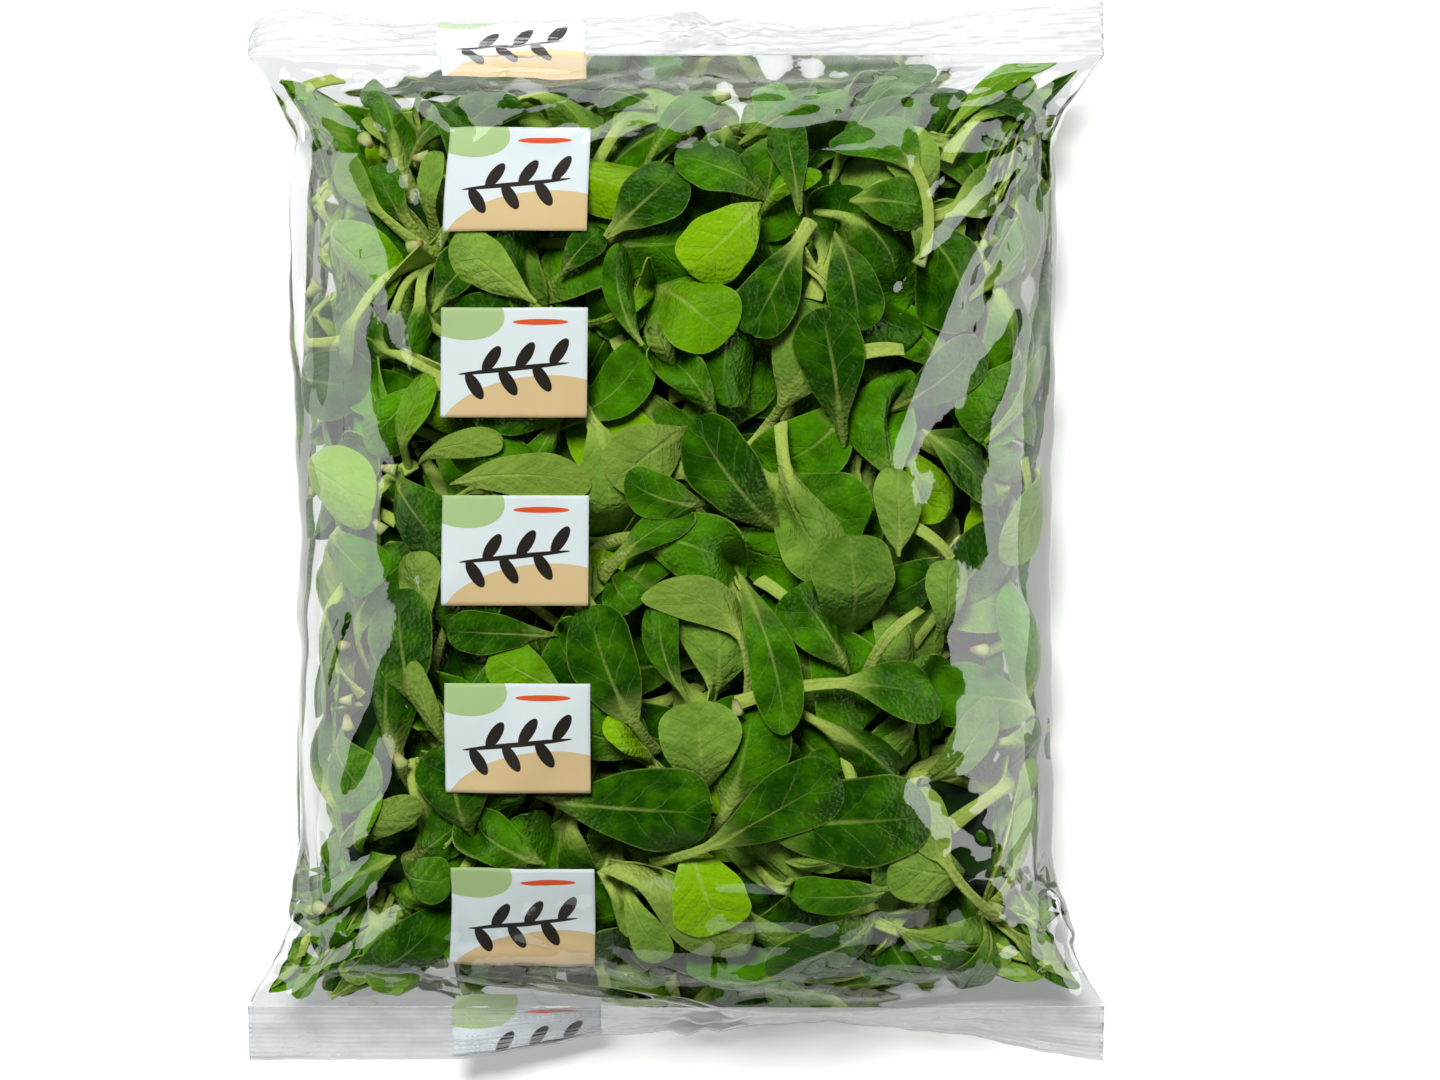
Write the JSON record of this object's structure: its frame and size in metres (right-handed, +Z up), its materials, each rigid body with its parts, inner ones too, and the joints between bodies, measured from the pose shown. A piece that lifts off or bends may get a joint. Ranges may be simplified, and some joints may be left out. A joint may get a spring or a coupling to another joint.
{
  "type": "bag of salad leaves",
  "caption": "Sealed clear pillow bag filled with lamb's lettuce leaves, with a crimped seal strip at each end and a back seam, lying on its back.",
  "frame": {"origin": "centre of the bag's outline at the level of the table, under the flat of its back", "axes": "+Z up out of the shown front, +Y along the bag towards its top seal, +X to the right seen from above with the top seal up"},
  "size_m": [0.223, 0.2764, 0.0575],
  "materials": {
    "film": "clear oriented polypropylene film, glossy and creased, over green leaves",
    "seal": "clear film heat sealed in two layers, crimped with fine ridges, a little milky",
    "print": "pale blue-white ink with tan and pale green fields, printed on the film",
    "leaf": "fresh lamb's lettuce, waxy green upper side, paler underside and midrib",
    "stalk": "pale green to white leaf stalks and root crowns, juicy and slightly glossy",
    "leaf_shade": "dark packed leaves deep inside the bag"
  },
  "bodies": {
    "root": {"salad_bag": "film"}
  },
  "joints": []
}
